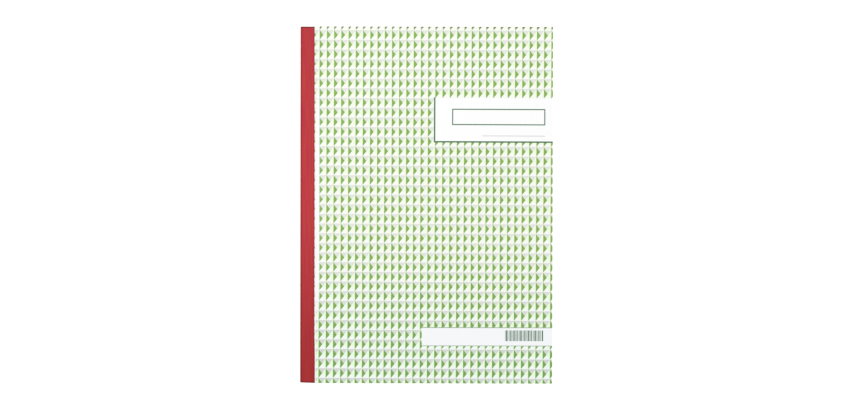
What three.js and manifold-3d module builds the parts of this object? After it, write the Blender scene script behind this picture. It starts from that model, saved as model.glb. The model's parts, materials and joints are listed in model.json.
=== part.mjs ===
// A4 carbonless order book, side-stapled under a red cloth spine tape.
//
// The book lies closed on its back cover: +X runs from the spine to the fore edge, +Y to the
// head and +Z out of the front cover. The origin is under the middle of the book, on the face
// that it rests on. All sizes are in millimetres.
//
// Each bound sheet is two solids: a stub that is stapled and glued under the tape, and the leaf
// that turns. The leaf bends along the front edge of the tape, which is where it hinges.

import * as THREE from 'three';
import { mergeVertices } from 'three/addons/utils/BufferGeometryUtils.js';
import Module from 'manifold-3d';

// Outside of the book
const bookWidth = 210;
const bookHeight = 297;

// Spine tape and glue
const tapeThickness = 0.3;
const tapeStripWidth = 11.6;
const tapeTrim = 0.6;
const glueThickness = 0.3;

// Covers
const frontCoverThickness = 0.35;
const backCoverThickness = 0.6;

// Sheets: each set is a white original over a coloured copy
const sheetThickness = 0.08;
const sheetGap = 0.01;
const sheetsPerSet = 2;
const setsPerBlock = 4;
const blockCount = 12;

// Loose card that keeps the writing off the next set
const shieldThickness = 0.5;
const shieldHingeInset = 3.4;
const shieldForeEdgeInset = 2;
const shieldHeadInset = 3.5;
const shieldCornerRadius = 5;

// Wire staples
const wireRadius = 0.3;
const wireSides = 8;
const wireBendRadius = 0.8;
const wireBendSteps = 4;
const crownLength = 13;
const clenchLength = 4.5;
const stapleInset = 6;
const stapleSpacing = 150;
const stapleCount = 2;
const wireClearance = 0.15;
const crownCover = 0.02;

// Bare width between a stub and its leaf, where the sheet bends
const bendGap = 0.4;

// Flats in each quarter turn of a rounded corner
const cornerSteps = 4;

// Places that follow from the sizes
const spineX = -bookWidth / 2;
const foreEdgeX = bookWidth / 2;
const stubStartX = spineX + tapeThickness + glueThickness;
const hingeX = spineX + tapeStripWidth;
const leafStartX = hingeX + bendGap;
const tapeLength = bookHeight - 2 * tapeTrim;
const sheetsPerBlock = sheetsPerSet * setsPerBlock;
const blockThickness = sheetsPerBlock * (sheetThickness + sheetGap) - sheetGap;
const shieldLift = shieldThickness + sheetGap;
const shieldWidth = foreEdgeX - shieldForeEdgeInset - hingeX - shieldHingeInset;
const shieldHeight = bookHeight - 2 * shieldHeadInset;

// Bound layers from the back of the book to the front. Those over the shield have their leaves
// lifted by it, while their stubs are pressed together under the tape.
const boundLayers = layBoundLayers();
const backLayer = boundLayers[0];
const frontLayer = boundLayers[boundLayers.length - 1];
const layerUnderShield = boundLayers.find((layer) => layer.carriesShield);

// The tape wraps everything that is bound.
const boundBottom = backLayer.stubBottom;
const boundTop = frontLayer.stubBottom + frontLayer.thickness;
const stapleX = spineX + stapleInset;
const crownZ = boundTop - crownCover - wireRadius;
const clenchZ = boundBottom + crownCover + wireRadius;

const { Manifold, Mesh: ManifoldMesh } = await loadManifold();
const staplePockets = stapleYs().map(stapleClearance);

const book = new THREE.Group();
book.add(makeBinding());
boundLayers.forEach((layer) => book.add(makeLeafGroup(layer)));

async function loadManifold() {
  const wasm = await Module();
  wasm.setup();
  return wasm;
}

// Lays the bound layers on one another and gives each its height in the stub and in the leaf.
function layBoundLayers() {
  const sheet = { stub: 'stub', thickness: sheetThickness };
  const copy = { ...sheet, material: 'copyPaper' };
  const original = { ...sheet, material: 'originalPaper' };
  const block = { stub: 'stub', thickness: blockThickness, material: 'mixedSheets' };
  const order = [
    { name: 'back_cover', stub: 'strip', thickness: backCoverThickness, material: 'greyBoard' },
  ];
  for (let number = blockCount; number >= 1; number -= 1) {
    order.push({ ...block, name: `sheet_block_${number}` });
  }
  order.push({ ...copy, name: 'copy_2' });
  order.push({ ...original, name: 'original_2', carriesShield: true });
  order.push({ ...copy, name: 'copy_1' });
  order.push({ ...original, name: 'original_1' });
  order.push({ name: 'front_cover', stub: 'strip', thickness: frontCoverThickness, material: 'greenCard' });

  let level = tapeThickness;
  let lift = 0;
  return order.map((layer) => {
    const placed = { ...layer, stubBottom: level, leafBottom: level + lift };
    level += layer.thickness + sheetGap;
    if (layer.carriesShield) {
      lift = shieldLift;
    }
    return placed;
  });
}

// Materials

function makeMaterial(kind) {
  const looks = {
    redCloth: { color: 0xbd4247, roughness: 0.85 },
    clearGlue: { color: 0xe6dfc8, roughness: 0.5 },
    steelWire: { color: 0xb9bcc0, roughness: 0.35, metalness: 1 },
    greenCard: { color: 0xc9dcb9, roughness: 0.5 },
    greyBoard: { color: 0xd9d6cc, roughness: 0.9 },
    shieldCard: { color: 0xe3d9bd, roughness: 0.8 },
    originalPaper: { color: 0xf8f8f5, roughness: 0.9 },
    copyPaper: { color: 0xf4c3cf, roughness: 0.9 },
    mixedSheets: { color: 0xf5dfe3, roughness: 0.9 },
  };
  return new THREE.MeshStandardMaterial(looks[kind]);
}

function makePiece(name, geometry, kind) {
  const piece = new THREE.Mesh(geometry, makeMaterial(kind));
  piece.name = name;
  return piece;
}

// Solids

function toSolid(geometry) {
  const bare = geometry.clone();
  bare.deleteAttribute('normal');
  bare.deleteAttribute('uv');
  const merged = mergeVertices(bare);
  return new Manifold(new ManifoldMesh({
    numProp: 3,
    vertProperties: new Float32Array(merged.attributes.position.array),
    triVerts: new Uint32Array(merged.index.array),
  }));
}

function toGeometry(solid) {
  const mesh = solid.getMesh();
  const geometry = new THREE.BufferGeometry();
  geometry.setAttribute('position', new THREE.BufferAttribute(mesh.vertProperties, 3));
  geometry.setIndex(new THREE.BufferAttribute(mesh.triVerts, 1));
  geometry.computeVertexNormals();
  return geometry;
}

// A box between two corners, as a geometry in the book's own frame.
function boxBetween(low, high) {
  const size = high.clone().sub(low);
  const centre = low.clone().add(high).multiplyScalar(0.5);
  return new THREE.BoxGeometry(size.x, size.y, size.z).translate(centre.x, centre.y, centre.z);
}

// Binding: tape, glue, staples and everything that they hold

function makeBinding() {
  const binding = new THREE.Group();
  binding.add(makeTape());
  binding.add(makeGlue());
  stapleYs().forEach((y, index) => {
    binding.add(makePiece(`staple_${index + 1}`, wireAlong(staplePath(y), wireRadius), 'steelWire'));
  });
  boundLayers.forEach((layer) => binding.add(makeStub(layer)));
  return binding;
}

// Cloth tape folded round the spine: a square-cornered U inside, rounded by its own thickness.
function makeTape() {
  const innerX = spineX + tapeThickness;
  const tapeTop = boundTop + tapeThickness;
  const outline = new THREE.Shape();
  outline.moveTo(hingeX, boundBottom - tapeThickness);
  outline.lineTo(hingeX, boundBottom);
  outline.lineTo(innerX, boundBottom);
  outline.lineTo(innerX, boundTop);
  outline.lineTo(hingeX, boundTop);
  outline.lineTo(hingeX, tapeTop);
  outline.lineTo(innerX, tapeTop);
  outline.absarc(innerX, boundTop, tapeThickness, Math.PI / 2, Math.PI, false);
  outline.lineTo(spineX, boundBottom);
  outline.absarc(innerX, boundBottom, tapeThickness, Math.PI, 1.5 * Math.PI, false);
  const geometry = new THREE.ExtrudeGeometry(outline, {
    depth: tapeLength, bevelEnabled: false, curveSegments: cornerSteps,
  });
  const tape = makePiece('spine_tape', geometry, 'redCloth');
  tape.rotation.x = Math.PI / 2;
  tape.position.y = tapeLength / 2;
  return tape;
}

// Glue coat between the tape and the cut edges of everything bound.
function makeGlue() {
  const low = new THREE.Vector3(spineX + tapeThickness, -tapeLength / 2, boundBottom);
  const high = new THREE.Vector3(stubStartX, tapeLength / 2, boundTop);
  return makePiece('spine_glue', boxBetween(low, high), 'clearGlue');
}

// The part of a layer that stays under the tape, with the holes that the staples pass through.
function makeStub(layer) {
  const low = new THREE.Vector3(stubStartX, -bookHeight / 2, layer.stubBottom);
  const high = new THREE.Vector3(hingeX, bookHeight / 2, layer.stubBottom + layer.thickness);
  let solid = toSolid(boxBetween(low, high));
  staplePockets.forEach((pocket) => {
    solid = solid.subtract(pocket);
  });
  return makePiece(`${layer.name}_${layer.stub}`, toGeometry(solid), layer.material);
}

// Staples

function stapleYs() {
  const firstY = -stapleSpacing * (stapleCount - 1) / 2;
  return Array.from({ length: stapleCount }, (unused, index) => firstY + index * stapleSpacing);
}

// Centre line of one staple, from the tip of one clenched leg over the crown to the other.
function staplePath(y) {
  const half = crownLength / 2;
  const corners = [
    { y: y + half, z: clenchZ, fromAngle: -Math.PI / 2 },
    { y: y + half, z: crownZ, fromAngle: 0 },
    { y: y - half, z: crownZ, fromAngle: Math.PI / 2 },
    { y: y - half, z: clenchZ, fromAngle: Math.PI },
  ];
  const points = [new THREE.Vector3(stapleX, y + half - clenchLength, clenchZ)];
  corners.forEach((corner) => {
    const centreY = corner.y - Math.sign(corner.y - y) * wireBendRadius;
    const centreZ = corner.z + (corner.z === clenchZ ? 1 : -1) * wireBendRadius;
    for (let step = 0; step <= wireBendSteps; step += 1) {
      const angle = corner.fromAngle + (Math.PI / 2) * (step / wireBendSteps);
      points.push(new THREE.Vector3(
        stapleX,
        centreY + wireBendRadius * Math.cos(angle),
        centreZ + wireBendRadius * Math.sin(angle),
      ));
    }
  });
  points.push(new THREE.Vector3(stapleX, y - half + clenchLength, clenchZ));
  return points;
}

// A closed wire of wireSides sides along a path that lies in a plane square to X.
function wireAlong(points, radius) {
  const positions = [];
  const last = points.length - 1;
  points.forEach((point, index) => {
    const before = points[Math.max(index - 1, 0)];
    const after = points[Math.min(index + 1, last)];
    const into = point.clone().sub(before).normalize();
    const out = after.clone().sub(point).normalize();
    const along = into.clone().add(out).normalize();
    const straight = index === 0 || index === last;
    const mitre = straight ? 1 : 1 / along.dot(out);
    for (let side = 0; side < wireSides; side += 1) {
      const angle = (2 * Math.PI * (side + 0.5)) / wireSides;
      const across = radius * Math.cos(angle);
      const up = radius * mitre * Math.sin(angle);
      positions.push(point.x + across, point.y - up * along.z, point.z + up * along.y);
    }
  });
  const faces = [];
  for (let ring = 0; ring < last; ring += 1) {
    for (let side = 0; side < wireSides; side += 1) {
      const next = (side + 1) % wireSides;
      const a = ring * wireSides + side;
      const b = ring * wireSides + next;
      const c = a + wireSides;
      const d = b + wireSides;
      faces.push(a, d, b, a, c, d);
    }
  }
  for (let side = 1; side < wireSides - 1; side += 1) {
    const end = last * wireSides;
    faces.push(0, side, side + 1);
    faces.push(end, end + side + 1, end + side);
  }
  const geometry = new THREE.BufferGeometry();
  geometry.setAttribute('position', new THREE.Float32BufferAttribute(positions, 3));
  geometry.setIndex(faces);
  geometry.computeVertexNormals();
  return geometry;
}

// The room that one staple takes: its wire, and the grooves that its crown and its clenched legs
// are pressed into, open to the tape.
function stapleClearance(y) {
  const reach = wireRadius + wireClearance;
  const half = crownLength / 2 + reach;
  const crownGroove = boxBetween(
    new THREE.Vector3(stapleX - reach, y - half, crownZ),
    new THREE.Vector3(stapleX + reach, y + half, boundTop + wireRadius),
  );
  const clenchGroove = boxBetween(
    new THREE.Vector3(stapleX - reach, y - half, boundBottom - wireRadius),
    new THREE.Vector3(stapleX + reach, y + half, clenchZ),
  );
  return toSolid(wireAlong(staplePath(y), reach)).add(toSolid(crownGroove)).add(toSolid(clenchGroove));
}

// Leaves

// One leaf, or block of leaves, hung from the fold line at the front edge of the tape.
function makeLeafGroup(layer) {
  const group = new THREE.Group();
  group.position.set(hingeX, 0, layer.leafBottom);
  const width = foreEdgeX - leafStartX;
  const leafGeometry = new THREE.BoxGeometry(width, bookHeight, layer.thickness);
  const isBlock = layer.material === 'mixedSheets';
  const leaf = makePiece(`${layer.name}_${isBlock ? 'leaves' : 'leaf'}`, leafGeometry, layer.material);
  leaf.position.set(bendGap + width / 2, 0, layer.thickness / 2);
  group.add(leaf);
  if (layer === layerUnderShield) {
    group.add(makeShield(layer.thickness));
  }
  return group;
}

// Writing shield, lying loose on the sheet under it, with rounded corners at the fore edge.
function makeShield(sheetTop) {
  const cornerX = shieldWidth - shieldCornerRadius;
  const cornerY = shieldHeight / 2 - shieldCornerRadius;
  const outline = new THREE.Shape();
  outline.moveTo(0, -shieldHeight / 2);
  outline.lineTo(cornerX, -shieldHeight / 2);
  outline.absarc(cornerX, -cornerY, shieldCornerRadius, -Math.PI / 2, 0, false);
  outline.lineTo(shieldWidth, cornerY);
  outline.absarc(cornerX, cornerY, shieldCornerRadius, 0, Math.PI / 2, false);
  outline.lineTo(0, shieldHeight / 2);
  outline.closePath();
  const geometry = new THREE.ExtrudeGeometry(outline, {
    depth: shieldThickness, bevelEnabled: false, curveSegments: cornerSteps,
  });
  const shield = makePiece('writing_shield', geometry, 'shieldCard');
  shield.position.set(shieldHingeInset, 0, sheetTop + sheetGap);
  return shield;
}

export default book;
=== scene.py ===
import json
import math

import bpy
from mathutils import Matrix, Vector, noise


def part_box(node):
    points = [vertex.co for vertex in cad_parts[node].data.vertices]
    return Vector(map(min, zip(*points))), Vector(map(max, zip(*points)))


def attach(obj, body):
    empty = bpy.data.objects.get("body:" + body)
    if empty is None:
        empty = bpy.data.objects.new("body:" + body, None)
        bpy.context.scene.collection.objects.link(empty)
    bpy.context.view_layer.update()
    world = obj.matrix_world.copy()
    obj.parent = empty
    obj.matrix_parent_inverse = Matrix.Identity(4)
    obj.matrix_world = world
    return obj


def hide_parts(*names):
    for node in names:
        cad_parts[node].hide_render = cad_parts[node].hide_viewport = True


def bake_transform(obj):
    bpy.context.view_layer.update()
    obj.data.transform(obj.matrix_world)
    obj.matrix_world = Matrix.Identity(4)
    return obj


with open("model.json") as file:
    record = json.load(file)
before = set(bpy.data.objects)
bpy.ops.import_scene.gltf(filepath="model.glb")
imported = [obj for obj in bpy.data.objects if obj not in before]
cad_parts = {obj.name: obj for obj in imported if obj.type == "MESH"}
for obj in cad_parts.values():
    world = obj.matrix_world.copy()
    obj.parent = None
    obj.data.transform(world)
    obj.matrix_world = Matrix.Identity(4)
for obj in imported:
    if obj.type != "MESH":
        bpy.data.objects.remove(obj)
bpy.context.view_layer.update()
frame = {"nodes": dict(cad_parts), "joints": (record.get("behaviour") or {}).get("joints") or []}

# Leaves and sheets, in metres; sizes that this script doesn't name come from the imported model
MM = 0.001
BEND_LENGTH = 10 * MM
BOARD_CREASE = 2 * MM
LEAF_START = 0.08 * MM
COVER_LIFT = 0.2 * MM
COVER_WAVE_ACROSS = 90 * MM
COVER_WAVE_DOWN = 120 * MM
COVER_ROWS = 30
SHEET_ROWS = 6
SETS_PER_BLOCK = 4
BLOCK_COUNT = 12
PERFORATION_FROM_TAPE = 11 * MM
SLIT_WIDTH = 0.22 * MM
SLIT_PITCH = 2.2 * MM
TIE_LENGTH = 0.6 * MM
FORE_EDGE_JITTER = 0.06 * MM
HEAD_JITTER = 0.03 * MM
SHEET_TONE_RANGE = 0.07

# Seeds of the sheets: the step from block to block, and what originals and tones add to it
BLOCK_SEED_STEP = 3
ORIGINAL_SEED_SHIFT = 50
TONE_SEED_SHIFT = 7

# Place on the page that sides and undersides carry, far from any print
OFF_PRINT = (-1.0, -1.0)

# Tape, in metres
SPINE_ROUNDING = 0.6 * MM
TAPE_ROWS = 180
TAPE_WOBBLE = 0.05 * MM
TAPE_WOBBLE_LENGTH = 4 * MM
TAPE_HEAD_REACH = 0.3 * MM
TAPE_EDGE_PRESSED = 0.04 * MM
TAPE_MIDDLE_DRIFT = 0.2 * MM
TAPE_MIDDLE_LENGTH = 120 * MM
TAPE_TAIL_DRIFT = 0.4 * MM
TAPE_TAIL_START = 250 * MM
TAPE_TAIL_LENGTH = 30 * MM
TAPE_TAIL_SLANT = 0.4 * MM

# Print on the front cover, in millimetres from the tape and from the head; tips are shares of a cell
PRINT_TURN = math.radians(0.126)
PRINT_OVERHANG = 1
CELL_WIDTH = 6.022
CELL_HEIGHT = 8.046
FIRST_CELL_LEFT = 4.36
FIRST_CELL_TOP = 2.96
TIP_ACROSS = 0.52
TIP_DOWN = 0.52
# Painted shade: where the print starts to darken towards the tail
TAIL_SHADE_START = 165
# Painted shade on the green along the head's cut edge, which gives way between these two places
CUT_SHADE_START = 0.9
CUT_SHADE_END = 2.6
NARROW_MARGIN_END = (1.1, 1.7)
WIDE_MARGIN_END = (3.4, 5.2)
MARGIN_WIDENS = (35.0, 75.0)
MARGIN_NARROWS = (215.0, 250.0)
TIPS_CLIPPED_MORE = (0.0, 120.0)
TIPS_END = (1.5, 1.9)
PANEL_LEFT = 100.88
PANEL_TOP = 59.3
PANEL_BOTTOM = 94.9
PANEL_LINE = 1.2
PANEL_LINE_TOP = 58.5
TITLE_LEFT = 114.8
TITLE_RIGHT = 192.3
TITLE_TOP = 68.0
TITLE_BOTTOM = 81.6
TITLE_LINE = 0.9
FAINT_RULE_LEFT = 139.8
FAINT_RULE_TOP = 90.3
FAINT_RULE_BOTTOM = 90.7
STRIP_LEFT = 89.7
STRIP_TOP = 250.75
STRIP_BOTTOM = 265.3
STRIP_LINE = 0.6
BARS_LEFT = 159.2
BARS_RIGHT = 190
BARS_TOP = 252.7
BARS_BOTTOM = 261.6
BAR_WIDTHS = [0.35, 0.7, 0.35, 1.05]
BAR_GAPS = [0.4, 0.7, 0.35]

# Order form on the sheets, in the same millimetres
FORM_LEFT = 20
FORM_RIGHT = 190
FORM_TOP = 16
ADDRESS_RIGHT = 96
ADDRESS_BOTTOM = 50
NUMBER_TOP = 54
CUSTOMER_LEFT = 106
HEADER_BOTTOM = 62
TABLE_TOP = 72
TABLE_BOTTOM = 248
ROW_HEIGHT = 8
TOTALS_LEFT = 142
TOTALS_COLUMN = 166
TOTALS_BOTTOM = 272
COLUMN_PLACES = (42, 118, TOTALS_LEFT, TOTALS_COLUMN)
SIGNATURE_RIGHT = 112
SIGNATURE_PLACES = (262, 272)
BOX_LINE = 0.4
TABLE_LINE = 0.5
THIN_LINE = 0.3
ROW_LINE_SHARE = 0.03

# Floor, light and camera: places in metres, turns in degrees, lens and sensor in millimetres
FLOOR_CLEARANCE = 0.05 * MM
FLOOR_REACH = 6.0
FLOOR_GLOW = 0.6
SKY_STRENGTH = 0.78
SOFTBOX_SIZE = 0.8
SOFTBOX_WATTS = 6.0
SOFTBOX_PLACE = (-0.3, 0.45, 1.5)
CAMERA_LENS = 100
CAMERA_SENSOR = 36
CAMERA_PLACE = (7.96 * MM, 28.51 * MM, 1984.63 * MM)
CAMERA_TURN = (-0.8237, 0.219, 0.1181)

tape_low, tape_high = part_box("spine_tape")
shield_low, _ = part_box("writing_shield")
cover_low, cover_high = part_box("front_cover_leaf")
_, cover_strip_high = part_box("front_cover_strip")
back_low, back_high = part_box("back_cover_leaf")
copy_low, copy_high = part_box("copy_1_leaf")
hinge_x = tape_high.x
fore_x = cover_high.x
head_y = cover_high.y
tail_y = cover_low.y
page_height = round((head_y - tail_y) / MM)

# The blocks lie on one another without a break, so their pitch gives that of the sets and the sheets
block_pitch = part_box("sheet_block_1_leaves")[0].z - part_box("sheet_block_2_leaves")[0].z
set_pitch = block_pitch / SETS_PER_BLOCK
sheet_pitch = set_pitch / 2
sheet_thickness = copy_high.z - copy_low.z


def smooth_step(share):
    """0 below 0, 1 above 1, and an even S between them."""
    share = min(1.0, max(0.0, share))
    return share * share * (3 - 2 * share)


def srgb(red, green, blue):
    """A colour of 0 to 255 as the photograph shows it, in the linear light that shaders use."""
    def linear(level):
        level = level / 255
        if level <= 0.04045:
            return level / 12.92
        return ((level + 0.055) / 1.055) ** 2.4
    return (linear(red), linear(green), linear(blue), 1.0)


# Colours; those of the printed pyramids go from the first to the second towards the tail, mostly darker there
# as painted shade
GREEN_SIDE = (srgb(127, 174, 65), srgb(113, 165, 69))
GREY_SIDE = (srgb(226, 230, 222), srgb(210, 214, 209))
MINT_SIDE = (srgb(243, 252, 228), srgb(235, 254, 224))
PALE_SIDE = (srgb(250, 251, 246), srgb(244, 250, 247))
# Painted shade green along the head's cut edge
GREEN_SHADED_AT_CUT = srgb(112, 124, 78)
PRINT_WHITE = srgb(253, 253, 253)
PRINT_DARK_GREEN = srgb(50, 108, 72)
FAINT_RULE_GREY = srgb(170, 172, 166)
STRIP_HEAD_LINE = srgb(142, 164, 130)
STRIP_FOOT_LINE = srgb(176, 188, 176)
STRIP_WHITE = srgb(247, 249, 251)
COVER_INSIDE = srgb(240, 239, 233)
COVER_CUT_EDGE = srgb(248, 248, 244)
THREAD_RED = srgb(202, 60, 74)
GAP_RED = srgb(174, 44, 58)
PATCH_RED = srgb(196, 64, 60)
STREAK_RED = srgb(188, 68, 56)
# Painted shade red for the tape towards its tail
TAIL_SHADE_RED = srgb(165, 35, 33)
ORIGINAL_WHITE = srgb(250, 250, 247)
ORIGINAL_INK = srgb(84, 138, 104)
ORIGINAL_TINT = srgb(222, 236, 220)
COPY_PINK = srgb(250, 208, 218)
COPY_INK = srgb(96, 128, 104)
COPY_TINT = srgb(226, 196, 192)
# Painted shade grey for the slits of the tear-off line
SLIT_SHADE_GREY = srgb(176, 172, 168)
# Painted shade grey for the gaps between sheets
SHEET_GAP_SHADE = srgb(170, 150, 150)
BOARD_GREY = srgb(214, 211, 203)
BOARD_FLECK = srgb(180, 176, 166)
MANILA = srgb(229, 216, 181)
MANILA_FLECK = srgb(206, 188, 148)
WIRE_DARK = srgb(176, 178, 182)
WIRE_LIGHT = srgb(214, 216, 218)
GLUE_DARK = srgb(226, 216, 188)
GLUE_LIGHT = srgb(240, 234, 216)
FLOOR_GREY = srgb(235, 235, 235)


# Node trees

class Graph:
    """Adds nodes to one tree and links them."""

    def __init__(self, tree):
        self.tree = tree

    def plug(self, socket, value):
        if isinstance(value, bpy.types.NodeSocket):
            self.tree.links.new(value, socket)
        else:
            socket.default_value = value

    def add(self, kind, inputs=None, **settings):
        node = self.tree.nodes.new(kind)
        for name, value in settings.items():
            setattr(node, name, value)
        for name, value in (inputs or {}).items():
            self.plug(node.inputs[name], value)
        return node

    def math(self, operation, first, second=0.0):
        return self.add("ShaderNodeMath", {0: first, 1: second}, operation=operation).outputs[0]

    def vector(self, **parts):
        """A vector put together from its parts X, Y and Z."""
        return self.add("ShaderNodeCombineXYZ", parts).outputs[0]

    def parts(self, vector):
        return self.add("ShaderNodeSeparateXYZ", {0: vector}).outputs

    def scale(self, vector, factor):
        return self.add("ShaderNodeVectorMath", {0: vector, "Scale": factor}, operation="SCALE").outputs[0]

    def stretch(self, vector, factors):
        """A vector with each part multiplied by its own factor."""
        return self.add("ShaderNodeVectorMath", {0: vector, 1: factors}, operation="MULTIPLY").outputs[0]

    def ramp(self, value, start, end, before=0.0, after=1.0, shape="LINEAR"):
        """Goes from one value to another while the input goes from start to end."""
        limits = {0: value, 1: start, 2: end, 3: before, 4: after}
        return self.add("ShaderNodeMapRange", limits, interpolation_type=shape).outputs[0]

    def between(self, value, low, high):
        """A value of 0 to 1 brought between two limits."""
        return self.ramp(value, 0.0, 1.0, low, high)

    def mix(self, factor, first, second):
        """A colour between two colours."""
        node = self.add("ShaderNodeMix", data_type="RGBA")
        self.plug(node.inputs[0], factor)
        self.plug(node.inputs[6], first)
        self.plug(node.inputs[7], second)
        return node.outputs[2]

    def shade(self, colour, tone):
        """A colour made lighter or darker by a value near 1."""
        grey = self.add("ShaderNodeCombineColor", {"Red": tone, "Green": tone, "Blue": tone}).outputs[0]
        node = self.add("ShaderNodeMix", data_type="RGBA", blend_type="MULTIPLY")
        self.plug(node.inputs[0], 1.0)
        self.plug(node.inputs[6], colour)
        self.plug(node.inputs[7], grey)
        return node.outputs[2]

    def noise(self, vector, scale, detail):
        inputs = {"Vector": vector, "Scale": scale, "Detail": detail}
        return self.add("ShaderNodeTexNoise", inputs).outputs["Fac"]

    def bump(self, height, distance, strength=1.0):
        inputs = {"Height": height, "Distance": distance, "Strength": strength}
        return self.add("ShaderNodeBump", inputs).outputs["Normal"]


def shader_group(name, inputs, outputs):
    """An empty shader node group: its graph, its input sockets and its output sockets."""
    tree = bpy.data.node_groups.new(name, "ShaderNodeTree")
    for label, (kind, value) in inputs.items():
        socket = tree.interface.new_socket(label, in_out="INPUT", socket_type=kind)
        if value is not None:
            socket.default_value = value
    for label, kind in outputs.items():
        tree.interface.new_socket(label, in_out="OUTPUT", socket_type=kind)
    graph = Graph(tree)
    return graph, graph.add("NodeGroupInput").outputs, graph.add("NodeGroupOutput").inputs


def place_group(graph, tree, **inputs):
    """A shared group in a material, with its inputs given by name, words joined by underscores."""
    node = graph.add("ShaderNodeGroup", node_tree=tree)
    for name, value in inputs.items():
        graph.plug(node.inputs[name.replace("_", " ")], value)
    return node.outputs


def make_page_group():
    """Millimetres from the tape and from the head, out of a sheet's UV map."""
    graph, _, out = shader_group("page_millimetres", {}, {
        "Point": "NodeSocketVector", "From Tape": "NodeSocketFloat", "From Head": "NodeSocketFloat",
    })
    point = graph.scale(graph.add("ShaderNodeUVMap", uv_map="page").outputs[0], 1 / MM)
    parts = graph.parts(point)
    graph.plug(out["Point"], point)
    graph.plug(out["From Tape"], parts[0])
    graph.plug(out["From Head"], parts[1])
    return graph.tree


def make_fibre_group():
    """Paper and card: cloudy tone, fine fibres, and the height that they give."""
    graph, given, out = shader_group("paper_fibre", {
        "Point": ("NodeSocketVector", None), "Cloud": ("NodeSocketFloat", 0.02),
        "Fleck": ("NodeSocketFloat", 0.03),
    }, {"Tone": "NodeSocketFloat", "Height": "NodeSocketFloat"})
    cloud = graph.noise(given["Point"], 0.12, 3.0)
    fibre = graph.noise(given["Point"], 3.5, 4.0)
    cloud_tone = graph.math("MULTIPLY", graph.math("SUBTRACT", cloud, 0.5), given["Cloud"])
    fibre_tone = graph.math("MULTIPLY", graph.math("SUBTRACT", fibre, 0.5), given["Fleck"])
    tone = graph.math("ADD", graph.math("ADD", cloud_tone, fibre_tone), 1.0)
    graph.plug(out["Tone"], tone)
    graph.plug(out["Height"], fibre)
    return graph.tree


def make_box_group():
    """A mask that is 1 inside a printed rectangle."""
    graph, given, out = shader_group("printed_box", {
        "From Tape": ("NodeSocketFloat", 0.0), "From Head": ("NodeSocketFloat", 0.0),
        "Left": ("NodeSocketFloat", 0.0), "Right": ("NodeSocketFloat", 1.0),
        "Top": ("NodeSocketFloat", 0.0), "Bottom": ("NodeSocketFloat", 1.0),
    }, {"Mask": "NodeSocketFloat"})

    def within(value, low, high):
        above = graph.math("GREATER_THAN", value, low)
        below = graph.math("LESS_THAN", value, high)
        return graph.math("MULTIPLY", above, below)

    across = within(given["From Tape"], given["Left"], given["Right"])
    down = within(given["From Head"], given["Top"], given["Bottom"])
    graph.plug(out["Mask"], graph.math("MULTIPLY", across, down))
    return graph.tree


def make_pyramid_group():
    """One printed cell, repeated: a four-sided pyramid seen from above, each side with its own tint."""
    graph, given, out = shader_group("pyramid_cells", {
        "From Tape": ("NodeSocketFloat", 0.0), "From Head": ("NodeSocketFloat", 0.0),
        "Cell Width": ("NodeSocketFloat", 6.0), "Cell Height": ("NodeSocketFloat", 8.0),
        "First Left": ("NodeSocketFloat", 0.0), "First Top": ("NodeSocketFloat", 0.0),
        "Tip Across": ("NodeSocketFloat", 0.5), "Tip Down": ("NodeSocketFloat", 0.5),
        "Left Side": ("NodeSocketColor", None), "Right Side": ("NodeSocketColor", None),
        "Top Side": ("NodeSocketColor", None), "Bottom Side": ("NodeSocketColor", None),
    }, {"Color": "NodeSocketColor"})

    def place_in_cell(value, first, size):
        return graph.math("FRACT", graph.math("DIVIDE", graph.math("SUBTRACT", value, first), size))

    across = place_in_cell(given["From Tape"], given["First Left"], given["Cell Width"])
    down = place_in_cell(given["From Head"], given["First Top"], given["Cell Height"])

    def climb(place, tip):
        """0 on the cell's edges, 1 at the pyramid's tip."""
        before = graph.math("DIVIDE", place, tip)
        after = graph.math("DIVIDE", graph.math("SUBTRACT", 1.0, place), graph.math("SUBTRACT", 1.0, tip))
        return graph.math("MINIMUM", before, after)

    is_side = graph.math("LESS_THAN", climb(across, given["Tip Across"]), climb(down, given["Tip Down"]))
    is_left = graph.math("LESS_THAN", across, given["Tip Across"])
    is_top = graph.math("LESS_THAN", down, given["Tip Down"])
    sides = graph.mix(is_left, given["Right Side"], given["Left Side"])
    ends = graph.mix(is_top, given["Bottom Side"], given["Top Side"])
    graph.plug(out["Color"], graph.mix(is_side, ends, sides))
    return graph.tree


def make_weave_group():
    """Plain weave: threads that cross over and under one another, as a height."""
    graph, given, out = shader_group("cloth_weave", {
        "From Tape": ("NodeSocketFloat", 0.0), "From Head": ("NodeSocketFloat", 0.0),
        "Thread Pitch": ("NodeSocketFloat", 0.4),
    }, {"Height": "NodeSocketFloat"})
    across = graph.math("DIVIDE", given["From Tape"], given["Thread Pitch"])
    down = graph.math("DIVIDE", given["From Head"], given["Thread Pitch"])
    cells = graph.math("ADD", graph.math("FLOOR", across), graph.math("FLOOR", down))
    over = graph.math("FLOORED_MODULO", cells, 2.0)
    warp = graph.math("ABSOLUTE", graph.math("SINE", graph.math("MULTIPLY", across, math.pi)))
    weft = graph.math("ABSOLUTE", graph.math("SINE", graph.math("MULTIPLY", down, math.pi)))
    warp_part = graph.math("MULTIPLY", warp, over)
    weft_part = graph.math("MULTIPLY", weft, graph.math("SUBTRACT", 1.0, over))
    graph.plug(out["Height"], graph.math("ADD", warp_part, weft_part))
    return graph.tree


page_group = make_page_group()
fibre_group = make_fibre_group()
box_group = make_box_group()
pyramid_group = make_pyramid_group()
weave_group = make_weave_group()


def start_material(name, roughness, **constants):
    """A material with its Principled shader, whose plain values sit on the shader's own sockets."""
    material = bpy.data.materials.new(name)
    material.use_nodes = True
    graph = Graph(material.node_tree)
    shader = material.node_tree.nodes["Principled BSDF"]
    shader.inputs["Roughness"].default_value = roughness
    for label, value in constants.items():
        shader.inputs[label.replace("_", " ")].default_value = value
    return material, graph, shader


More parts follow.
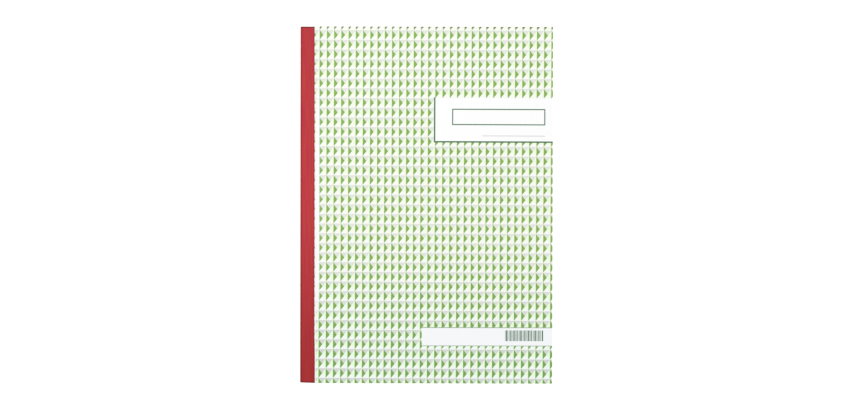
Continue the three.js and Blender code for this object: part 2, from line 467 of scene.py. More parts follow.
def object_millimetres(graph):
    """Object coordinates in millimetres, for pieces that never bend."""
    return graph.scale(graph.add("ShaderNodeTexCoord").outputs["Object"], 1 / MM)


def finish_card(graph, shader, colour, point, cloud, fleck, depth):
    """Gives a paper or card colour its fibres, in tone and in height."""
    fibre = place_group(graph, fibre_group, Point=point, Cloud=cloud, Fleck=fleck)
    graph.plug(shader.inputs["Base Color"], graph.shade(colour, fibre["Tone"]))
    graph.plug(shader.inputs["Normal"], graph.bump(fibre["Height"], depth))


# Printed shapes

def turned_print(graph, page):
    """Page millimetres as the press laid its print down, a little askew to the cut edges."""
    turned = graph.add("ShaderNodeVectorRotate", {
        "Vector": page["Point"], "Angle": -PRINT_TURN,
    }, rotation_type="Z_AXIS").outputs[0]
    parts = graph.parts(turned)
    return {"From Tape": parts[0], "From Head": parts[1]}


def printed_box(graph, page, left, right, top, bottom):
    return place_group(graph, box_group, From_Tape=page["From Tape"], From_Head=page["From Head"],
                       Left=left, Right=right, Top=top, Bottom=bottom)["Mask"]


def join_masks(graph, masks):
    joined = masks[0]
    for mask in masks[1:]:
        joined = graph.math("MAXIMUM", joined, mask)
    return joined


def printed_frame(graph, page, left, right, top, bottom, line):
    """The outline of a rectangle, drawn inside its edges."""
    outer = printed_box(graph, page, left, right, top, bottom)
    inner = printed_box(graph, page, left + line, right - line, top + line, bottom - line)
    return graph.math("SUBTRACT", outer, inner)


def bar_block(graph, page):
    """Plain upright bars of a few widths, which stand for no number."""
    bars = []
    left = BARS_LEFT
    index = 0
    while left < BARS_RIGHT:
        width = BAR_WIDTHS[(index * 7 + index // 3) % len(BAR_WIDTHS)]
        bars.append(printed_box(graph, page, left, left + width, BARS_TOP, BARS_BOTTOM))
        left += width + BAR_GAPS[(index * 5 + index // 4) % len(BAR_GAPS)]
        index += 1
    return join_masks(graph, bars)


def margin_beside_tape(graph, page):
    """How bare the cover is beside the tape: past the clipped tips a white line, wider at mid-height."""
    across, down = page["From Tape"], page["From Head"]

    def rise(value, limits):
        return graph.ramp(value, *limits, shape="SMOOTHSTEP")

    def fall(value, limits):
        return graph.math("SUBTRACT", 1.0, rise(value, limits))

    narrow = fall(across, NARROW_MARGIN_END)
    wide = fall(across, WIDE_MARGIN_END)
    at_middle = graph.math("MULTIPLY", rise(down, MARGIN_WIDENS), fall(down, MARGIN_NARROWS))
    widened = graph.math("MULTIPLY", graph.math("SUBTRACT", wide, narrow), at_middle)
    clipped_more = rise(down, TIPS_CLIPPED_MORE)
    past_tips = rise(graph.math("ADD", across, clipped_more), TIPS_END)
    return graph.math("MULTIPLY", past_tips, graph.math("ADD", narrow, widened))


# Materials

def make_tape_cloth():
    """Red book cloth, with painted shade towards the tail, along its edges and just before it turns round the
    spine, and painted light on the turn itself.
    """
    material, graph, shader = start_material("red_tape_cloth", 0.78, Specular_IOR_Level=0.2)
    page = place_group(graph, page_group)
    across, down = page["From Tape"], page["From Head"]
    weave = place_group(graph, weave_group, From_Tape=across, From_Head=down, Thread_Pitch=0.36)
    patches = graph.noise(page["Point"], 0.5, 3.0)
    streaks = graph.noise(graph.stretch(page["Point"], (1.0, 0.03, 1.0)), 1.1, 3.0)
    colour = graph.mix(graph.between(weave["Height"], 0.0, 1.0), GAP_RED, THREAD_RED)
    colour = graph.mix(graph.between(patches, -0.1, 0.4), colour, PATCH_RED)
    colour = graph.mix(graph.ramp(streaks, 0.42, 0.62, 0.0, 0.5), colour, STREAK_RED)
    # Painted shade: the cloth turns a deeper, darker red towards the tail, where the light falls off
    tail_shade_share = graph.ramp(down, 150.0, page_height, 0.0, 0.5, shape="SMOOTHSTEP")
    colour = graph.mix(tail_shade_share, colour, TAIL_SHADE_RED)

    # Painted shade and painted light: each has its two places in millimetres, then its tone at both; a tone
    # above 1 is painted light
    strip_width = (hinge_x - tape_low.x) / MM
    front_edge = graph.ramp(across, 0.0, 1.3, 0.72, 1.0)
    spine_groove = graph.ramp(across, strip_width - 1.9, strip_width - 0.9, 1.0, 0.64)
    spine_turn_highlight = graph.ramp(across, strip_width - 0.7, strip_width - 0.2, 1.0, 1.6)
    head_end = graph.ramp(down, 0.9, 1.6, 0.36, 1.0)
    near_head = graph.ramp(down, 1.6, 60.0, 0.95, 1.0)
    lower_half = graph.ramp(down, 150.0, 290.0, 1.0, 0.85)
    tail_end = graph.ramp(down, 295.2, 295.9, 1.0, 0.6)
    tone = graph.between(streaks, 0.8, 1.24)
    for shade in (front_edge, spine_groove, spine_turn_highlight, head_end, near_head, lower_half, tail_end):
        tone = graph.math("MULTIPLY", tone, shade)
    graph.plug(shader.inputs["Base Color"], graph.shade(colour, tone))
    graph.plug(shader.inputs["Normal"], graph.bump(weave["Height"], 0.05 * MM, 0.8))
    return material


def make_cover_print():
    """Satin white card with rows of printed pyramids, a blank title panel and a plain lower strip."""
    material, graph, shader = start_material("cover_print", 0.42)
    page = place_group(graph, page_group)
    askew = turned_print(graph, page)
    down = page["From Head"]
    right = (fore_x - hinge_x) / MM + PRINT_OVERHANG

    # Painted shade: the pyramids' colours darken towards the tail, where the light falls off
    tail_shade = graph.ramp(down, TAIL_SHADE_START, page_height, shape="SMOOTHSTEP")
    green = graph.mix(tail_shade, *GREEN_SIDE)
    # Painted shade: the green darkens along the cut edge at the head
    green = graph.mix(graph.ramp(down, CUT_SHADE_START, CUT_SHADE_END), GREEN_SHADED_AT_CUT, green)
    cells = place_group(
        graph, pyramid_group, From_Tape=askew["From Tape"], From_Head=askew["From Head"],
        Cell_Width=CELL_WIDTH, Cell_Height=CELL_HEIGHT,
        First_Left=FIRST_CELL_LEFT, First_Top=FIRST_CELL_TOP,
        Tip_Across=TIP_ACROSS, Tip_Down=TIP_DOWN, Left_Side=green, Right_Side=graph.mix(tail_shade, *MINT_SIDE),
        Top_Side=graph.mix(tail_shade, *GREY_SIDE), Bottom_Side=graph.mix(tail_shade, *PALE_SIDE),
    )["Color"]
    colour = graph.mix(margin_beside_tape(graph, page), cells, PRINT_WHITE)

    line_left = PANEL_LEFT - PANEL_LINE
    line_foot = PANEL_BOTTOM + PANEL_LINE
    panel = printed_box(graph, askew, PANEL_LEFT, right, PANEL_TOP, PANEL_BOTTOM)
    panel_lines = join_masks(graph, [
        printed_box(graph, askew, line_left, PANEL_LEFT, PANEL_LINE_TOP, line_foot),
        printed_box(graph, askew, PANEL_LEFT, right, PANEL_BOTTOM, line_foot),
        printed_frame(graph, askew, TITLE_LEFT, TITLE_RIGHT, TITLE_TOP, TITLE_BOTTOM, TITLE_LINE),
    ])
    faint_rule = printed_box(graph, askew, FAINT_RULE_LEFT, TITLE_RIGHT, FAINT_RULE_TOP, FAINT_RULE_BOTTOM)
    colour = graph.mix(panel, colour, PRINT_WHITE)
    colour = graph.mix(panel_lines, colour, PRINT_DARK_GREEN)
    colour = graph.mix(faint_rule, colour, FAINT_RULE_GREY)

    strip = printed_box(graph, page, STRIP_LEFT, right, STRIP_TOP, STRIP_BOTTOM)
    strip_head = printed_box(graph, page, STRIP_LEFT, right, STRIP_TOP - STRIP_LINE, STRIP_TOP)
    strip_foot = printed_box(graph, page, STRIP_LEFT, right, STRIP_BOTTOM, STRIP_BOTTOM + STRIP_LINE)
    colour = graph.mix(strip_head, colour, STRIP_HEAD_LINE)
    colour = graph.mix(strip_foot, colour, STRIP_FOOT_LINE)
    colour = graph.mix(strip, colour, STRIP_WHITE)
    colour = graph.mix(bar_block(graph, page), colour, PRINT_DARK_GREEN)

    foot = page_height + PRINT_OVERHANG
    on_print = printed_box(graph, page, -PRINT_OVERHANG, right, -PRINT_OVERHANG, foot)
    colour = graph.mix(on_print, COVER_INSIDE, colour)
    finish_card(graph, shader, colour, page["Point"], 0.012, 0.01, 0.004 * MM)
    return material


def form_lines(graph, page):
    """Every line of the order form: two address boxes, a number box, a ruled table and its totals."""
    table = (FORM_LEFT, FORM_RIGHT, TABLE_TOP, TABLE_BOTTOM)
    totals = (TOTALS_LEFT, FORM_RIGHT, TABLE_BOTTOM, TOTALS_BOTTOM)
    lines = [
        printed_frame(graph, page, FORM_LEFT, ADDRESS_RIGHT, FORM_TOP, ADDRESS_BOTTOM, BOX_LINE),
        printed_frame(graph, page, CUSTOMER_LEFT, FORM_RIGHT, FORM_TOP, HEADER_BOTTOM, BOX_LINE),
        printed_frame(graph, page, FORM_LEFT, ADDRESS_RIGHT, NUMBER_TOP, HEADER_BOTTOM, BOX_LINE),
        printed_frame(graph, page, *table, TABLE_LINE),
        printed_frame(graph, page, *totals, TABLE_LINE),
    ]
    for place in COLUMN_PLACES:
        lines.append(printed_box(graph, page, place, place + THIN_LINE, TABLE_TOP, TABLE_BOTTOM))
    lines.append(printed_box(
        graph, page, TOTALS_COLUMN, TOTALS_COLUMN + THIN_LINE, TABLE_BOTTOM, TOTALS_BOTTOM))
    for place in SIGNATURE_PLACES:
        lines.append(printed_box(graph, page, FORM_LEFT, SIGNATURE_RIGHT, place, place + THIN_LINE))
    place_in_row = graph.math("FRACT", graph.math("DIVIDE", page["From Head"], ROW_HEIGHT))
    row_line = graph.math("LESS_THAN", place_in_row, ROW_LINE_SHARE)
    for ruled in (table, totals):
        lines.append(graph.math("MULTIPLY", row_line, printed_box(graph, page, *ruled)))
    return join_masks(graph, lines)


def slit_line(graph, page):
    """The slits of the tear-off line, between its ties, darkened with painted shade."""
    place = graph.math("FRACT", graph.math("DIVIDE", page["From Head"], SLIT_PITCH / MM))
    is_slit = graph.math("GREATER_THAN", place, TIE_LENGTH / SLIT_PITCH)
    left = (PERFORATION_FROM_TAPE - SLIT_WIDTH / 2) / MM
    right = (PERFORATION_FROM_TAPE + SLIT_WIDTH / 2) / MM
    return graph.math("MULTIPLY", is_slit, printed_box(graph, page, left, right, 0.0, page_height))


def make_form_paper(name, paper, ink, tint, is_original):
    """Carbonless paper with a plain order form; an original also has its tear-off line."""
    material, graph, shader = start_material(name, 0.85)
    page = place_group(graph, page_group)
    heading = printed_box(graph, page, FORM_LEFT, FORM_RIGHT, TABLE_TOP, TABLE_TOP + ROW_HEIGHT)
    colour = graph.mix(heading, paper, tint)
    colour = graph.mix(form_lines(graph, page), colour, ink)
    if is_original:
        # Painted shade in the open slits of the tear-off line
        colour = graph.mix(slit_line(graph, page), colour, SLIT_SHADE_GREY)
    sheet_tone = graph.add("ShaderNodeAttribute", attribute_name="sheet_tone").outputs["Fac"]
    colour = graph.shade(colour, graph.math("SUBTRACT", 1.0, sheet_tone))
    finish_card(graph, shader, colour, page["Point"], 0.02, 0.02, 0.006 * MM)
    return material


def make_back_board():
    """Grey board with darker flecks of pulp."""
    material, graph, shader = start_material("grey_back_board", 0.85)
    point = place_group(graph, page_group)["Point"]
    flecks = graph.math("GREATER_THAN", graph.noise(point, 1.7, 5.0), 0.66)
    colour = graph.mix(flecks, BOARD_GREY, BOARD_FLECK)
    finish_card(graph, shader, colour, point, 0.05, 0.06, 0.02 * MM)
    return material


def make_manila_card():
    """Smooth manila card of the writing shield."""
    material, graph, shader = start_material("manila_card", 0.6)
    point = object_millimetres(graph)
    flecks = graph.math("GREATER_THAN", graph.noise(point, 1.4, 4.0), 0.68)
    colour = graph.mix(flecks, MANILA, MANILA_FLECK)
    finish_card(graph, shader, colour, point, 0.05, 0.04, 0.01 * MM)
    return material


def make_strip_card(name, colour):
    """The part of a cover that lies under the tape, seen only at its cut ends."""
    material, graph, shader = start_material(name, 0.7)
    finish_card(graph, shader, colour, object_millimetres(graph), 0.04, 0.05, 0.008 * MM)
    return material


def make_stub_edges():
    """Cut ends of the stapled stubs: white and pink sheets in turn, with a painted shade line between them.
    """
    material, graph, shader = start_material("stub_edges", 0.85)
    point = object_millimetres(graph)
    height = graph.parts(point)[2]
    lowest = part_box(f"sheet_block_{BLOCK_COUNT}_stub")[0].z / MM
    above_lowest = graph.math("SUBTRACT", height, lowest)
    in_set = graph.math("FRACT", graph.math("DIVIDE", above_lowest, set_pitch / MM))
    in_sheet = graph.math("FRACT", graph.math("MULTIPLY", in_set, 2.0))
    colour = graph.mix(graph.math("LESS_THAN", in_set, 0.5), ORIGINAL_WHITE, COPY_PINK)
    # Painted shade in the gaps between the sheets
    colour = graph.mix(graph.math("GREATER_THAN", in_sheet, 0.9), colour, SHEET_GAP_SHADE)
    finish_card(graph, shader, colour, point, 0.04, 0.06, 0.01 * MM)
    return material


def make_wire():
    """Drawn steel wire with fine lines along it."""
    material, graph, shader = start_material("staple_wire", 0.3, Metallic=1.0)
    lines = graph.noise(graph.stretch(object_millimetres(graph), (9.0, 0.4, 0.4)), 1.0, 3.0)
    graph.plug(shader.inputs["Base Color"], graph.mix(lines, WIRE_DARK, WIRE_LIGHT))
    graph.plug(shader.inputs["Roughness"], graph.between(lines, 0.24, 0.42))
    return material


def make_glue():
    """Dried clear glue, cream coloured where it is thick."""
    material, graph, shader = start_material("dried_glue", 0.35)
    beads = graph.noise(object_millimetres(graph), 1.2, 3.0)
    graph.plug(shader.inputs["Base Color"], graph.mix(beads, GLUE_DARK, GLUE_LIGHT))
    graph.plug(shader.inputs["Normal"], graph.bump(beads, 0.05 * MM))
    return material


# Meshes

def spread(low, high, steps):
    return [low + (high - low) * step / steps for step in range(steps + 1)]


def sheet_faces(column_runs, rows, top_at, thickness):
    """Corners, faces and page coordinates of a thin closed sheet, in one or more runs side by side."""
    corners = []
    faces = []
    page = []

    def add_face(face, on_print):
        faces.append(face)
        for index in face:
            x, y, _ = corners[index]
            page.append((x - hinge_x, head_y - y) if on_print else OFF_PRINT)

    for columns in column_runs:
        first = len(corners)
        wide, long = len(columns), len(rows)
        for drop in (0.0, thickness):
            for y in rows:
                for x in columns:
                    corners.append((x, y, top_at(x, y) - drop))

        def at(layer, row, column):
            return first + (layer * long + row) * wide + column

        def add_side(start, end, turn):
            side = [at(0, *start), at(0, *end), at(1, *end), at(1, *start)]
            add_face(side[::turn], False)

        for row in range(long - 1):
            for column in range(wide - 1):
                quad = [(row, column), (row, column + 1), (row + 1, column + 1), (row + 1, column)]
                add_face([at(0, *place) for place in quad], True)
                add_face([at(1, *place) for place in reversed(quad)], False)
        for row in range(long - 1):
            for column, turn in ((0, 1), (wide - 1, -1)):
                add_side((row, column), (row + 1, column), turn)
        for column in range(wide - 1):
            for row, turn in ((0, -1), (long - 1, 1)):
                add_side((row, column), (row, column + 1), turn)
    return corners, faces, page


def make_piece(name, corners, faces, page, material=None):
    mesh = bpy.data.meshes.new(name)
    mesh.from_pydata(corners, [], faces)
    layer = mesh.uv_layers.new(name="page")
    for index, point in enumerate(page):
        layer.data[index].uv = point
    mesh.update()
    piece = bpy.data.objects.new(name, mesh)
    bpy.context.scene.collection.objects.link(piece)
    if material:
        mesh.materials.append(material)
    return piece


def leaf_columns(bend_steps=20, flat_steps=8, length=BEND_LENGTH):
    """Places across a leaf: close together where it bends, further apart where it lies flat."""
    bend_end = hinge_x + length
    return spread(hinge_x + LEAF_START, bend_end, bend_steps) + spread(bend_end, fore_x, flat_steps)[1:]


def perforated_columns():
    """Two runs of columns, with the slits of the tear-off line open between them."""
    slit_left = hinge_x + PERFORATION_FROM_TAPE - SLIT_WIDTH / 2
    slit_right = slit_left + SLIT_WIDTH
    near_run = [x for x in leaf_columns() if x < slit_left] + [slit_left]
    far_run = [slit_right] + [x for x in leaf_columns() if x > slit_right]
    return [near_run, far_run]


def ramp_from(stub_top, leaf_top):
    """Height of a leaf's face as it rises between the tape and the near edge of the shield."""
    start = hinge_x + TAPE_MIDDLE_DRIFT + TAPE_TAIL_DRIFT
    length = shield_low.x - start

    def top_at(x, y):
        return stub_top + (leaf_top - stub_top) * smooth_step((x - start) / length)
    return top_at


def bend_at_tape(piece, node):
    """Bakes the piece's place into its mesh and hides the imported node that it stands in for."""
    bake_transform(piece)
    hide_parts(node)


# Geometry Nodes: the sheets of a block and the ties of a tear-off line

def geometry_tree(name, inputs):
    """An empty tree that takes and gives geometry: its graph, its input and its output sockets."""
    tree = bpy.data.node_groups.new(name, "GeometryNodeTree")
    tree.interface.new_socket("Geometry", in_out="INPUT", socket_type="NodeSocketGeometry")
    for label, kind in inputs.items():
        tree.interface.new_socket(label, in_out="INPUT", socket_type=kind)
    tree.interface.new_socket("Geometry", in_out="OUTPUT", socket_type="NodeSocketGeometry")
    graph = Graph(tree)
    return graph, graph.add("NodeGroupInput").outputs, graph.add("NodeGroupOutput").inputs


def run_tree(piece, tree, **values):
    """Runs a tree on a piece, with inputs found by name and set by identifier, and keeps a plain mesh."""
    modifier = piece.modifiers.new(tree.name, "NODES")
    modifier.node_group = tree
    for item in tree.interface.items_tree:
        key = item.name.replace(" ", "_")
        if item.item_type == "SOCKET" and item.in_out == "INPUT" and key in values:
            modifier[item.identifier] = values[key]
    graph = bpy.context.evaluated_depsgraph_get()
    evaluated = piece.evaluated_get(graph)
    mesh = bpy.data.meshes.new_from_object(evaluated, preserve_all_data_layers=True, depsgraph=graph)
    piece.modifiers.clear()
    piece.data = mesh


def line_of_copies(graph, count, start, step, instance):
    """Copies of a mesh at even steps from a start."""
    line = graph.add("GeometryNodeMeshLine", {"Count": count, "Start Location": start, "Offset": step})
    inputs = {"Points": line.outputs["Mesh"], "Instance": instance}
    return graph.add("GeometryNodeInstanceOnPoints", inputs).outputs["Instances"]


def make_sets_tree():
    """Lays bound sets on one another, each a copy with its original on top, none quite square to the next."""
    graph, given, out = geometry_tree("bound_sets", {
        "Sets": "NodeSocketInt", "Set Pitch": "NodeSocketFloat", "Sheet Pitch": "NodeSocketFloat",
        "Fore Edge Jitter": "NodeSocketFloat", "Head Jitter": "NodeSocketFloat", "Seed": "NodeSocketInt",
        "Original Paper": "NodeSocketMaterial", "Copy Paper": "NodeSocketMaterial",
    })
    step = graph.vector(Z=given["Set Pitch"])
    minus_fore = graph.math("MULTIPLY", given["Fore Edge Jitter"], -1.0)
    minus_head = graph.math("MULTIPLY", given["Head Jitter"], -1.0)
    low = graph.vector(X=minus_fore, Y=minus_head)
    high = graph.vector(Y=given["Head Jitter"])
    join = graph.add("GeometryNodeJoinGeometry")
    for paper, level, seed_shift in (("Copy Paper", 0.0, 0), ("Original Paper", 1.0, ORIGINAL_SEED_SHIFT)):
        start = graph.vector(Z=graph.math("MULTIPLY", given["Sheet Pitch"], level))
        sheets = line_of_copies(graph, given["Sets"], start, step, given["Geometry"])
        seed = graph.math("ADD", given["Seed"], seed_shift)
        shift = graph.add("FunctionNodeRandomValue", data_type="FLOAT_VECTOR")
        graph.plug(shift.inputs[0], low)
        graph.plug(shift.inputs[1], high)
        graph.plug(shift.inputs["Seed"], seed)
        moved = graph.add("GeometryNodeTranslateInstances", {
            "Instances": sheets, "Translation": shift.outputs[0],
        }).outputs[0]
        tone = graph.add("FunctionNodeRandomValue", data_type="FLOAT")
        graph.plug(tone.inputs[2], 0.0)
        graph.plug(tone.inputs[3], SHEET_TONE_RANGE)
        graph.plug(tone.inputs["Seed"], graph.math("ADD", seed, TONE_SEED_SHIFT))
        toned = graph.add("GeometryNodeStoreNamedAttribute", {
            "Geometry": moved, "Name": "sheet_tone", "Value": tone.outputs[1],
        }, data_type="FLOAT", domain="INSTANCE").outputs[0]
        real = graph.add("GeometryNodeRealizeInstances", {"Geometry": toned}).outputs[0]
        dressed = graph.add("GeometryNodeSetMaterial", {"Geometry": real, "Material": given[paper]})
        graph.tree.links.new(dressed.outputs[0], join.inputs[0])
    graph.plug(out["Geometry"], join.outputs[0])
    return graph.tree


def make_ties_tree():
    """Adds the short uncut ties of a tear-off line to a sheet that is open along it."""
    graph, given, out = geometry_tree("perforation_ties", {
        "Line Place": "NodeSocketFloat", "First Tie": "NodeSocketFloat", "Tie Count": "NodeSocketInt",
        "Tie Pitch": "NodeSocketFloat", "Tie Length": "NodeSocketFloat", "Slit Width": "NodeSocketFloat",
        "Sheet Middle": "NodeSocketFloat", "Sheet Thickness": "NodeSocketFloat",
        "Paper": "NodeSocketMaterial",
    })
    start = graph.vector(X=given["Line Place"], Y=given["First Tie"], Z=given["Sheet Middle"])
    step = graph.vector(Y=given["Tie Pitch"])
    size = graph.vector(X=given["Slit Width"], Y=given["Tie Length"], Z=given["Sheet Thickness"])
    tie = graph.add("GeometryNodeMeshCube", {"Size": size}).outputs["Mesh"]
    ties = line_of_copies(graph, given["Tie Count"], start, step, tie)
    real = graph.add("GeometryNodeRealizeInstances", {"Geometry": ties}).outputs[0]
    join = graph.add("GeometryNodeJoinGeometry")
    graph.tree.links.new(real, join.inputs[0])
    graph.tree.links.new(given["Geometry"], join.inputs[0])
    inputs = {"Geometry": join.outputs[0], "Material": given["Paper"]}
    dressed = graph.add("GeometryNodeSetMaterial", inputs)
    graph.plug(out["Geometry"], dressed.outputs[0])
    return graph.tree


# Pieces

def tape_profile(thickness, turn_steps=6, strip_steps=5):
    """The tape's cut end as places across and up: a U of one thickness with soft turns at the spine."""
    left, bottom, top = tape_low.x, tape_low.z, tape_high.z
    round_x = left + SPINE_ROUNDING

    def turn(centre_z, start):
        angles = [start + math.pi / 2 * step / turn_steps for step in range(turn_steps + 1)]
        return [(round_x + SPINE_ROUNDING * math.cos(angle), centre_z + SPINE_ROUNDING * math.sin(angle))
                for angle in angles]

    outer = [(x, top) for x in spread(hinge_x, round_x, strip_steps)[:-1]]
    outer += turn(top - SPINE_ROUNDING, math.pi / 2)
    outer += turn(bottom + SPINE_ROUNDING, math.pi)
    outer += [(x, bottom) for x in spread(round_x, hinge_x, strip_steps)[1:]]
    inner = [(hinge_x, bottom + thickness), (left + thickness, bottom + thickness)]
    inner += [(left + thickness, top - thickness), (hinge_x, top - thickness + TAPE_EDGE_PRESSED)]
    return outer + inner


def tape_drift(y):
    """How far the tape's front edge strays on to the cover: more towards the tail, with a fine wobble."""
    from_head = head_y - y
    drift = TAPE_MIDDLE_DRIFT * smooth_step(from_head / TAPE_MIDDLE_LENGTH)
    drift += TAPE_TAIL_DRIFT * smooth_step((from_head - TAPE_TAIL_START) / TAPE_TAIL_LENGTH)
    return drift + TAPE_WOBBLE * noise.noise(Vector((3.0, y / TAPE_WOBBLE_LENGTH, 0.0)))


def tape_corners(profile, rows):
    """The profile at every row, its front edge a little uneven and its tail end cut a little askew."""
    middle_z = (tape_low.z + tape_high.z) / 2
    corners = []
    for y in rows:
        drift = tape_drift(y)
        slant = TAPE_TAIL_SLANT / (hinge_x - tape_low.x) if y == tape_low.y else 0.0
        for x, z in profile:
            is_front_edge = x == hinge_x and z > middle_z
            corners.append((x + (drift if is_front_edge else 0.0), y - slant * (x - tape_low.x), z))
    return corners


def tape_faces(profile, rows):
    """Faces between the rows and over both ends, with the way round the profile as their page place."""
    along = [0.0]
    for before, after in zip(profile, profile[1:] + profile[:1]):
        along.append(along[-1] + math.dist(before, after))
    faces = []
    page = []
    count = len(profile)
    for row in range(len(rows) - 1):
        base = row * count
        above, below = head_y - rows[row], head_y - rows[row + 1]
        for index in range(count):
            following = (index + 1) % count
            faces.append([base + index, base + count + index, base + count + following, base + following])
            near, far = along[index], along[index + 1]
            page += [(near, above), (near, below), (far, below), (far, above)]
    last = (len(rows) - 1) * count
    faces.append(list(range(count)))
    faces.append([last + index for index in reversed(range(count))])
    page += [(place, 0.0) for place in along[:count]]
    page += [(place, 0.0) for place in reversed(along[:count])]
    return faces, page


def add_tape(material):
    """Cloth tape folded round the spine."""
    profile = tape_profile(tape_high.z - cover_strip_high.z)
    rows = spread(tape_low.y, tape_high.y + TAPE_HEAD_REACH, TAPE_ROWS)
    faces, page = tape_faces(profile, rows)
    tape = make_piece("cloth_tape", tape_corners(profile, rows), faces, page, material)
    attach(tape, "binding")
    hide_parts("spine_tape")


def add_front_cover(material):
    """Printed cover, rising from under the tape and springing up a little towards its fore edge."""
    thickness = cover_high.z - cover_low.z
    ramp = ramp_from(cover_strip_high.z, cover_high.z)

    def top_at(x, y):
        towards_edge = smooth_step((x - hinge_x) / (fore_x - hinge_x))
        wave = 0.5 + 0.5 * noise.noise(Vector((x / COVER_WAVE_ACROSS, y / COVER_WAVE_DOWN, 0.0)))
        return ramp(x, y) + COVER_LIFT * towards_edge * wave

    columns = leaf_columns(flat_steps=24)
    corners, faces, page = sheet_faces([columns], spread(tail_y, head_y, COVER_ROWS), top_at, thickness)
    cover = make_piece("printed_front_cover", corners, faces, page, material)
    bend_at_tape(cover, "front_cover_leaf")


def add_back_cover(material):
    """Plain back board, lying flat from the tape to its fore edge."""
    thickness = back_high.z - back_low.z
    columns = leaf_columns(length=BOARD_CREASE)
    level = ramp_from(back_high.z, back_high.z)
    corners, faces, page = sheet_faces([columns], spread(tail_y, head_y, SHEET_ROWS), level, thickness)
    board = make_piece("plain_back_board", corners, faces, page, material)
    bend_at_tape(board, "back_cover_leaf")


def add_single_sheet(body, material, ties_tree=None):
    """One sheet of the first two sets; the originals have a tear-off line near the tape."""
    node = f"{body}_leaf"
    low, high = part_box(node)
    stub_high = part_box(f"{body}_stub")[1]
    thickness = high.z - low.z
    runs = perforated_columns() if ties_tree else [leaf_columns()]
    ramp = ramp_from(stub_high.z, high.z)
    corners, faces, page = sheet_faces(runs, spread(tail_y, head_y, SHEET_ROWS), ramp, thickness)
    sheet = make_piece(f"{body}_sheet", corners, faces, page, material)
    if ties_tree:
        run_tree(
            sheet, ties_tree, Line_Place=hinge_x + PERFORATION_FROM_TAPE, First_Tie=tail_y + SLIT_PITCH / 2,
            Tie_Count=int((head_y - tail_y) / SLIT_PITCH), Tie_Pitch=SLIT_PITCH, Tie_Length=TIE_LENGTH,
            Slit_Width=SLIT_WIDTH, Sheet_Middle=(low.z + high.z) / 2, Sheet_Thickness=thickness,
            Paper=material,
        )
    bend_at_tape(sheet, node)


def add_block(number, sets_tree, original_paper, copy_paper):
    """Four bound sets of thin sheets, in one piece."""
    body = f"sheet_block_{number}"
    lowest_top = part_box(f"{body}_leaves")[0].z + sheet_thickness
    level = ramp_from(lowest_top, lowest_top)
    columns = leaf_columns(bend_steps=12, flat_steps=4)
    corners, faces, page = sheet_faces([columns], [tail_y, head_y], level, sheet_thickness)
    block = make_piece(f"{body}_sheets", corners, faces, page)
    run_tree(
        block, sets_tree, Sets=SETS_PER_BLOCK, Set_Pitch=set_pitch, Sheet_Pitch=sheet_pitch,
        Fore_Edge_Jitter=FORE_EDGE_JITTER, Head_Jitter=HEAD_JITTER, Seed=number * BLOCK_SEED_STEP,
        Original_Paper=original_paper, Copy_Paper=copy_paper,
    )
    bend_at_tape(block, f"{body}_leaves")


def dress_node(name, material):
    """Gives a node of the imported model, whose shape is right as it is, its finish."""
    node = frame["nodes"][name]
    node.data.materials.clear()
    node.data.materials.append(material)


original_paper = make_form_paper("original_paper", ORIGINAL_WHITE, ORIGINAL_INK, ORIGINAL_TINT, True)
copy_paper = make_form_paper("copy_paper", COPY_PINK, COPY_INK, COPY_TINT, False)

add_tape(make_tape_cloth())
add_front_cover(make_cover_print())
add_back_cover(make_back_board())

ties_tree = make_ties_tree()
for number in (1, 2):
    add_single_sheet(f"original_{number}", original_paper, ties_tree)
    add_single_sheet(f"copy_{number}", copy_paper)

sets_tree = make_sets_tree()
for number in range(1, BLOCK_COUNT + 1):
    add_block(number, sets_tree, original_paper, copy_paper)

stub_edges = make_stub_edges()
for name in frame["nodes"]:
    if name.endswith("_stub"):
        dress_node(name, stub_edges)
dress_node("front_cover_strip", make_strip_card("cover_strip_card", COVER_CUT_EDGE))
dress_node("back_cover_strip", make_strip_card("back_strip_board", BOARD_GREY))
dress_node("writing_shield", make_manila_card())
dress_node("spine_glue", make_glue())
wire = make_wire()
for name in ("staple_1", "staple_2"):
    dress_node(name, wire)


# Floor, light and camera

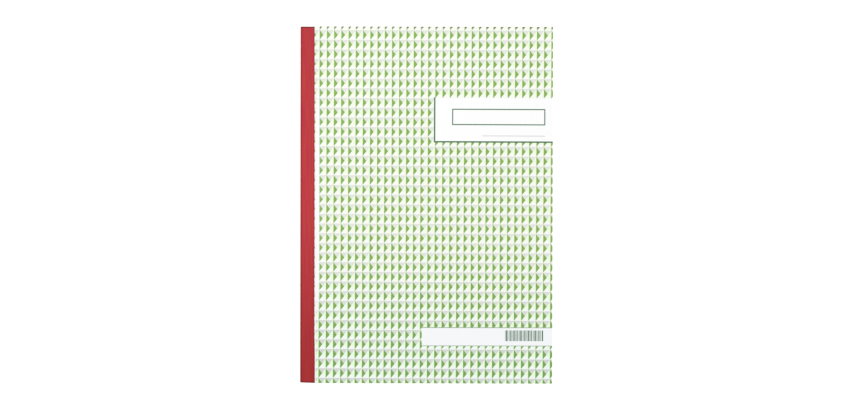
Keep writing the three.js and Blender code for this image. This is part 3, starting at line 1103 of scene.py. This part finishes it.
def add_floor():
    """Pale floor, white to the camera except where the book shades it, and clear from underneath."""
    fold = next(joint for joint in frame["joints"] if joint["child"] == "back_cover")
    folded_low = 2 * fold["pos_m"][2] - back_high.z
    level = folded_low - FLOOR_CLEARANCE
    signs = ((-1, -1), (1, -1), (1, 1), (-1, 1))
    corners = [(FLOOR_REACH * x, FLOOR_REACH * y, level) for x, y in signs]
    mesh = bpy.data.meshes.new("floor")
    mesh.from_pydata(corners, [], [[0, 1, 2, 3]])
    floor = bpy.data.objects.new("floor", mesh)
    bpy.context.scene.collection.objects.link(floor)
    material, graph, shader = start_material("pale_floor", 0.9, Base_Color=FLOOR_GREY, Specular_IOR_Level=0.0)
    rays = graph.add("ShaderNodeLightPath").outputs
    seen = graph.math("MAXIMUM", rays["Is Camera Ray"], rays["Is Glossy Ray"])
    seen = graph.math("MAXIMUM", seen, rays["Is Transmission Ray"])
    glow = graph.add("ShaderNodeEmission", {"Strength": graph.math("MULTIPLY", seen, FLOOR_GLOW)})
    lit = graph.add("ShaderNodeAddShader", {0: shader.outputs[0], 1: glow.outputs[0]})
    clear = graph.add("ShaderNodeBsdfTransparent")
    behind = graph.add("ShaderNodeNewGeometry").outputs["Backfacing"]
    shown = graph.add("ShaderNodeMixShader", {0: behind, 1: lit.outputs[0], 2: clear.outputs[0]})
    output = material.node_tree.nodes["Material Output"]
    graph.plug(output.inputs["Surface"], shown.outputs[0])
    mesh.materials.append(material)


def set_world():
    """Even soft light from all round, seen as white."""
    world = bpy.data.worlds.new("studio")
    bpy.context.scene.world = world
    world.use_nodes = True
    graph = Graph(world.node_tree)
    rays = graph.add("ShaderNodeLightPath").outputs
    background = world.node_tree.nodes["Background"]
    background.inputs["Color"].default_value = (1.0, 1.0, 1.0, 1.0)
    graph.plug(background.inputs["Strength"], graph.between(rays["Is Camera Ray"], SKY_STRENGTH, 1.0))


def add_key_light():
    """One wide softbox above the head of the book, so that the tail is a little darker."""
    lamp = bpy.data.lights.new("softbox", "AREA")
    lamp.shape = "SQUARE"
    lamp.size = SOFTBOX_SIZE
    lamp.energy = SOFTBOX_WATTS
    softbox = bpy.data.objects.new("softbox", lamp)
    softbox.location = SOFTBOX_PLACE
    softbox.rotation_euler = (-softbox.location).to_track_quat("-Z", "Y").to_euler()
    bpy.context.scene.collection.objects.link(softbox)


def add_camera():
    """Long lens straight above the book, turned by the little that the photograph's edges show."""
    camera = bpy.data.objects.new("camera", bpy.data.cameras.new("camera"))
    camera.data.lens = CAMERA_LENS
    camera.data.sensor_width = CAMERA_SENSOR
    camera.data.clip_start = 0.05
    camera.data.clip_end = 50
    camera.location = CAMERA_PLACE
    camera.rotation_euler = [math.radians(turn) for turn in CAMERA_TURN]
    bpy.context.scene.collection.objects.link(camera)
    bpy.context.scene.camera = camera


add_floor()
set_world()
add_key_light()
add_camera()
bpy.context.scene.view_settings.view_transform = "Standard"

bpy.context.view_layer.update()
